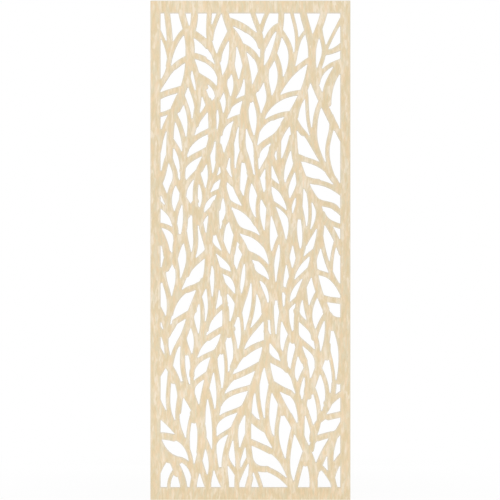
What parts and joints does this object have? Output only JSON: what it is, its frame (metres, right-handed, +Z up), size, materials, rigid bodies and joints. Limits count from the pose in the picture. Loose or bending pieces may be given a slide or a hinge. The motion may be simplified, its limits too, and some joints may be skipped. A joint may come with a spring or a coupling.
{
  "type": "fretwork panel",
  "caption": "Tall flat birch plywood panel pierced right through with an all-over willow-leaf fretwork between plain stiles and rails; screens, divides or decorates.",
  "frame": {"origin": "middle of the sheet, halfway through its thickness", "axes": "+X along the width, +Y from the front face to the back face, +Z up along the height"},
  "size_m": [0.594, 0.0064, 1.483],
  "materials": {
    "face_veneer": "sanded, unfinished birch, grain upright",
    "crossband": "sawn birch, grain across the panel",
    "core_veneer": "sawn birch, grain upright",
    "glue": "cured glue line"
  },
  "bodies": {
    "root": {"face_veneer": "face_veneer", "glue_line_1": "glue", "front_crossband": "crossband", "glue_line_2": "glue", "core_veneer": "core_veneer", "glue_line_3": "glue", "rear_crossband": "crossband", "glue_line_4": "glue", "back_veneer": "face_veneer"}
  },
  "joints": []
}
